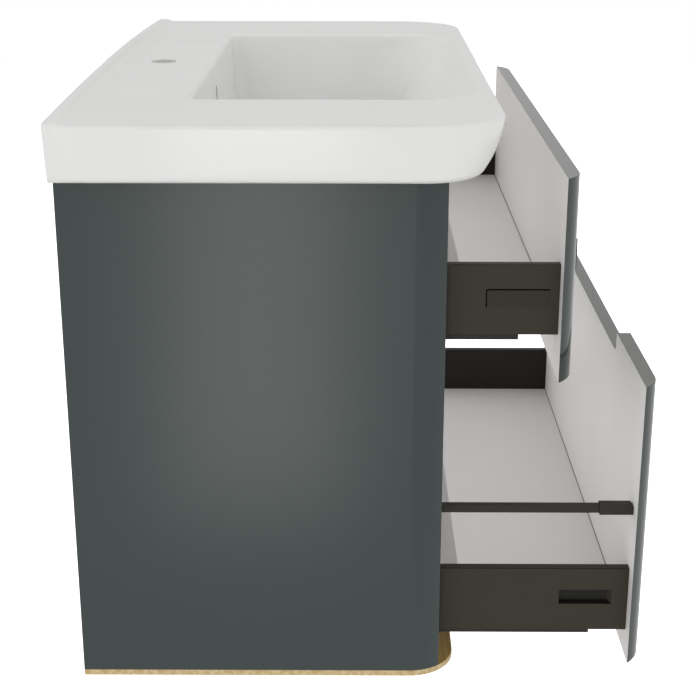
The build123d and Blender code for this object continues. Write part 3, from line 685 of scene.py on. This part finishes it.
@dataclass
class Finishes:
    """The materials of all looks, each made once."""

    made: dict[Look, bpy.types.Material] = field(init=False)

    def __post_init__(self) -> None:
        """Make every material."""
        self.made = {look: look.value.build() for look in Look}

    def dress(self, piece: bpy.types.Object, look: Look, material_slot: str) -> None:
        """Give a piece one finish.

        Args:
            piece: The object to dress.
            look: The finish.
            material_slot: Name of the record's material slot. Not used.
        """
        piece.data.materials.clear()
        piece.data.materials.append(self.made[look])
        log.info("%s: %s", piece.name, self.made[look].name)


@dataclass
class Assembly:
    """Base of the sub-assemblies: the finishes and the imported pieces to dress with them."""

    finishes: Finishes
    nodes: dict[str, bpy.types.Object]

    def dress_all(self, plan: dict[str, tuple[Look, str]]) -> None:
        """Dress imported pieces, given as name to finish and material slot."""
        for name, (look, material_slot) in plan.items():
            self.finishes.dress(self.nodes[name], look, material_slot)


@dataclass
class Washbasin(Assembly):
    """The ceramic basin."""

    weld: float = 0.02 * MM
    sharp_deg: float = 38.0

    def build(self) -> None:
        """Dress the basin and let its shading run smoothly from face to face."""
        self.dress_all({"washbasin": (Look.CERAMIC, "sanitary_ceramic")})
        basin = self.nodes["washbasin"]
        joined = basin.modifiers.new("joined_faces", "WELD")
        joined.merge_threshold = self.weld
        sharp = basin.modifiers.new("sharp_edges", "EDGE_SPLIT")
        sharp.split_angle = math.radians(self.sharp_deg)
        smooth = basin.modifiers.new("even_shading", "WEIGHTED_NORMAL")
        smooth.mode = "FACE_AREA_WITH_ANGLE"


@dataclass
class Carcass(Assembly):
    """Side panels, the boards between them and the oak base plate."""

    boards: tuple[str, ...] = ("bottom_panel", "back_rail_upper", "back_rail_lower", "front_stretcher")

    def build(self) -> None:
        """Dress the carcass."""
        self.dress_all({f"side_panel_{side.value}": (Look.PANEL, "lacquered_panel") for side in Side})
        self.dress_all({board: (Look.BOARD, "melamine_board") for board in self.boards})
        self.dress_all({"base_plate": (Look.OAK, "oak")})


@dataclass
class Drawer(Assembly):
    """One drawer: front, metal sides, bottom, back and what is fixed to them."""

    level: Level = Level.UPPER
    seal_width: float = 1.2 * MM
    seal_height: float = 0.4 * MM

    def build(self) -> None:
        """Dress the drawer's pieces."""
        name = self.level.value
        self.dress_all({
            f"drawer_front_{name}": (Look.FRONT, "lacquered_front"),
            f"drawer_bottom_{name}": (Look.BOARD, "drawer_board"),
            f"drawer_back_{name}": (Look.BOARD, "drawer_board"),
        })
        for side in Side:
            tail = f"{name}_{side.value}"
            self.dress_all({
                f"drawer_side_{tail}": (Look.DRAWER_SIDE, "coated_side_steel"),
                f"back_fixing_{tail}": (Look.DRAWER_SIDE, "coated_side_steel"),
                f"front_bracket_{tail}": (Look.DARK_BRACKET, "bracket_steel"),
                f"runner_drawer_member_{tail}": (Look.RUNNER, "galvanised_runner_steel"),
            })
            if self.level is Level.UPPER:
                self.dress_all({f"cover_cap_{side.value}": (Look.CAP, "cap_plastic")})
            else:
                self.dress_all({f"gallery_rail_{side.value}": (Look.RAIL, "coated_rail_steel"),
                                f"gallery_bracket_{side.value}": (Look.RAIL, "coated_rail_steel")})
        if self.level is Level.UPPER:
            self.dress_all({"trap_surround": (Look.SURROUND, "surround_plastic")})
        self.build_trims(name)

    def build_trims(self, name: str) -> None:
        """Add the joint line before the front, and the caps or the recesses of the side windows.

        Args:
            name: The drawer's part of its pieces' names.
        """
        front_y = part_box(f"drawer_front_{name}")[1].y
        lo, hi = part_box(f"drawer_bottom_{name}")
        seal = boxes(f"bottom_seal_{name}", [((lo.x, front_y, hi.z), (hi.x, front_y + self.seal_width,
                                                                       hi.z + self.seal_height))])
        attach(seal, self.level.body)
        self.finishes.dress(seal, Look.SEAL, "drawer_board")
        for side in Side:
            if self.level is Level.UPPER:
                cap = CoverCap().build(self.nodes[f"cover_cap_{side.value}"], side)
                self.finishes.dress(cap, Look.CAP, "cap_plastic")
            else:
                tray = WindowTray().build(self.nodes[f"drawer_side_{name}_{side.value}"], side)
                # The recess's near-black is painted shade inside the window; its front end takes the drawer
                # side's coat
                self.finishes.dress(tray, Look.DARK_BRACKET, "bracket_steel")
                tray.data.materials.append(self.finishes.made[Look.DRAWER_SIDE])
                tray.data.polygons[-1].material_index = 1


@dataclass
class Hardware(Assembly):
    """Runners in the cabinet, wall fixing, cams and screws."""

    screws: tuple[str, ...] = ("cam_bolts", "base_plate_screws", "hanger_screws", "runner_screws",
                               "front_screws_upper", "front_screws_lower")

    def build(self) -> None:
        """Dress the hardware."""
        self.dress_all({"wall_rail": (Look.GALVANISED, "galvanised_rail_steel"),
                        "cam_locks": (Look.ZINC_PLATED, "zinc_cams")})
        self.dress_all({screws: (Look.ZINC_PLATED, "zinc_plated_screws") for screws in self.screws})
        for side in Side:
            self.dress_all({f"hanger_{side.value}": (Look.GALVANISED, "bracket_steel")})
            for level in Level:
                tail = f"{level.value}_{side.value}"
                self.dress_all({
                    f"runner_cabinet_member_{tail}": (Look.GALVANISED, "galvanised_runner_steel"),
                    f"runner_middle_member_{tail}": (Look.GALVANISED, "galvanised_runner_steel"),
                })


@dataclass(frozen=True)
class PhotoCamera:
    """Camera at the photograph's place, in the part's frame, fitted to edges measured in the photograph."""

    place_mm: tuple[float, float, float] = (-2031.1, -333.0, 408.3)
    pitch_down_deg: float = 18.868
    turn_deg: float = 0.332
    roll_deg: float = -0.032
    lens_mm: float = 75.685
    sensor_mm: float = 36.0

    def build(self) -> bpy.types.Object:
        """Add the camera and make it the scene's.

        Returns:
            The camera.
        """
        data = bpy.data.cameras.new("camera")
        data.lens = self.lens_mm
        data.sensor_width = self.sensor_mm
        camera = bpy.data.objects.new("camera", data)
        bpy.context.scene.collection.objects.link(camera)
        pitch, turn = math.radians(self.pitch_down_deg), math.radians(self.turn_deg)
        ahead = Vector((math.cos(pitch) * math.cos(turn), math.cos(pitch) * math.sin(turn), -math.sin(pitch)))
        right = ahead.cross(Vector((0, 0, 1))).normalized()
        up = right.cross(ahead)
        aim = Matrix((right, up, -ahead)).transposed().to_4x4()
        roll = Matrix.Rotation(math.radians(-self.roll_deg), 4, "Z")
        camera.matrix_world = Matrix.Translation(Vector(self.place_mm) * MM) @ aim @ roll
        bpy.context.scene.camera = camera
        log.info("camera: %.1f mm lens", self.lens_mm)
        return camera


@dataclass(frozen=True)
class AreaLamp:
    """A rectangular soft box, unseen by the camera. Places and sizes are in metres."""

    name: str
    place: tuple[float, float, float]
    target: tuple[float, float, float]
    size: tuple[float, float]
    watts: float
    in_reflections: bool = True

    def build(self) -> None:
        """Add the lamp."""
        data = bpy.data.lights.new(self.name, "AREA")
        data.energy = self.watts
        data.shape = "RECTANGLE"
        data.size, data.size_y = self.size
        lamp = bpy.data.objects.new(self.name, data)
        bpy.context.scene.collection.objects.link(lamp)
        lamp.location = self.place
        aim = Vector(self.target) - Vector(self.place)
        lamp.rotation_euler = aim.to_track_quat("-Z", "Y").to_euler()
        lamp.visible_camera = False
        lamp.visible_glossy = self.in_reflections
        log.info("lamp %s: %.2f W", self.name, self.watts)


@dataclass
class Studio:
    """Plain white studio: pale floor, even world and two soft boxes. Sizes are in metres."""

    unit_foot: float = -0.556
    floor_below: float = 0.95
    floor_half: float = 12.0
    world_strength: float = 0.95
    world_gloss: float = 0.6
    lamps: tuple[AreaLamp, ...] = (
        AreaLamp("panel_box", place=(-2.2, -0.1, -0.5), target=(-0.45, -0.15, -0.15), size=(0.42, 1.2),
                 watts=3.1),
        # Lifts the fronts' white inner faces, which the world alone leaves darker than in the photograph
        AreaLamp("opening_box", place=(0.0, -0.47, -0.24), target=(0.0, -1.0, -0.24), size=(0.8, 0.58),
                 watts=0.85, in_reflections=False),
    )

    def build(self) -> None:
        """Add world, floor and lamps, and set plain colour management."""
        scene = bpy.context.scene
        scene.view_settings.view_transform = "Standard"
        self.build_world(scene)
        self.build_floor()
        for lamp in self.lamps:
            lamp.build()

    def build_world(self, scene: bpy.types.Scene) -> None:
        """Set an even white world, dimmer in reflections and plain white to the camera and through glass.

        Args:
            scene: The scene to light.
        """
        world = bpy.data.worlds.new("studio_world")
        scene.world = world
        world.use_nodes = True
        tree = world.node_tree
        tree.nodes.clear()
        path = add_node(tree, "LightPath")
        seen = add_node(tree, "Math", {0: path.outputs["Is Camera Ray"],
                                       1: path.outputs["Is Transmission Ray"]}, operation="MAXIMUM")
        lit = add_node(tree, "MapRange", {"Value": path.outputs["Is Glossy Ray"],
                                          "To Min": self.world_strength, "To Max": self.world_gloss})
        strength = add_node(tree, "MapRange", {"Value": seen.outputs[0], "To Min": lit.outputs[0]})
        glow = add_node(tree, "Background", {"Color": linear("#ffffff"), "Strength": strength.outputs[0]})
        add_node(tree, "OutputWorld", {"Surface": glow.outputs[0]})
        log.info("world: strength %.2f", self.world_strength)

    def build_floor(self) -> None:
        """Lay a pale floor well below the hung unit."""
        half, z = self.floor_half, self.unit_foot - self.floor_below
        floor = new_piece("studio_floor", [(-half, -half, z), (half, -half, z), (half, half, z),
                                           (-half, half, z)], [(0, 1, 2, 3)])
        floor.data.materials.append(StudioPaint().build())
        log.info("floor: %.2f m below the unit", self.floor_below)


def main() -> None:
    """Load the frame, dress it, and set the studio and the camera."""
    logging.basicConfig(level=logging.INFO, format="%(name)s: %(message)s")
    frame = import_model()
    nodes = frame["nodes"]
    finishes = Finishes()
    for assembly in (Washbasin(finishes, nodes), Carcass(finishes, nodes),
                     Drawer(finishes, nodes, Level.UPPER), Drawer(finishes, nodes, Level.LOWER),
                     Hardware(finishes, nodes)):
        assembly.build()
    Studio().build()
    PhotoCamera().build()


if __name__ == "__main__":
    main()
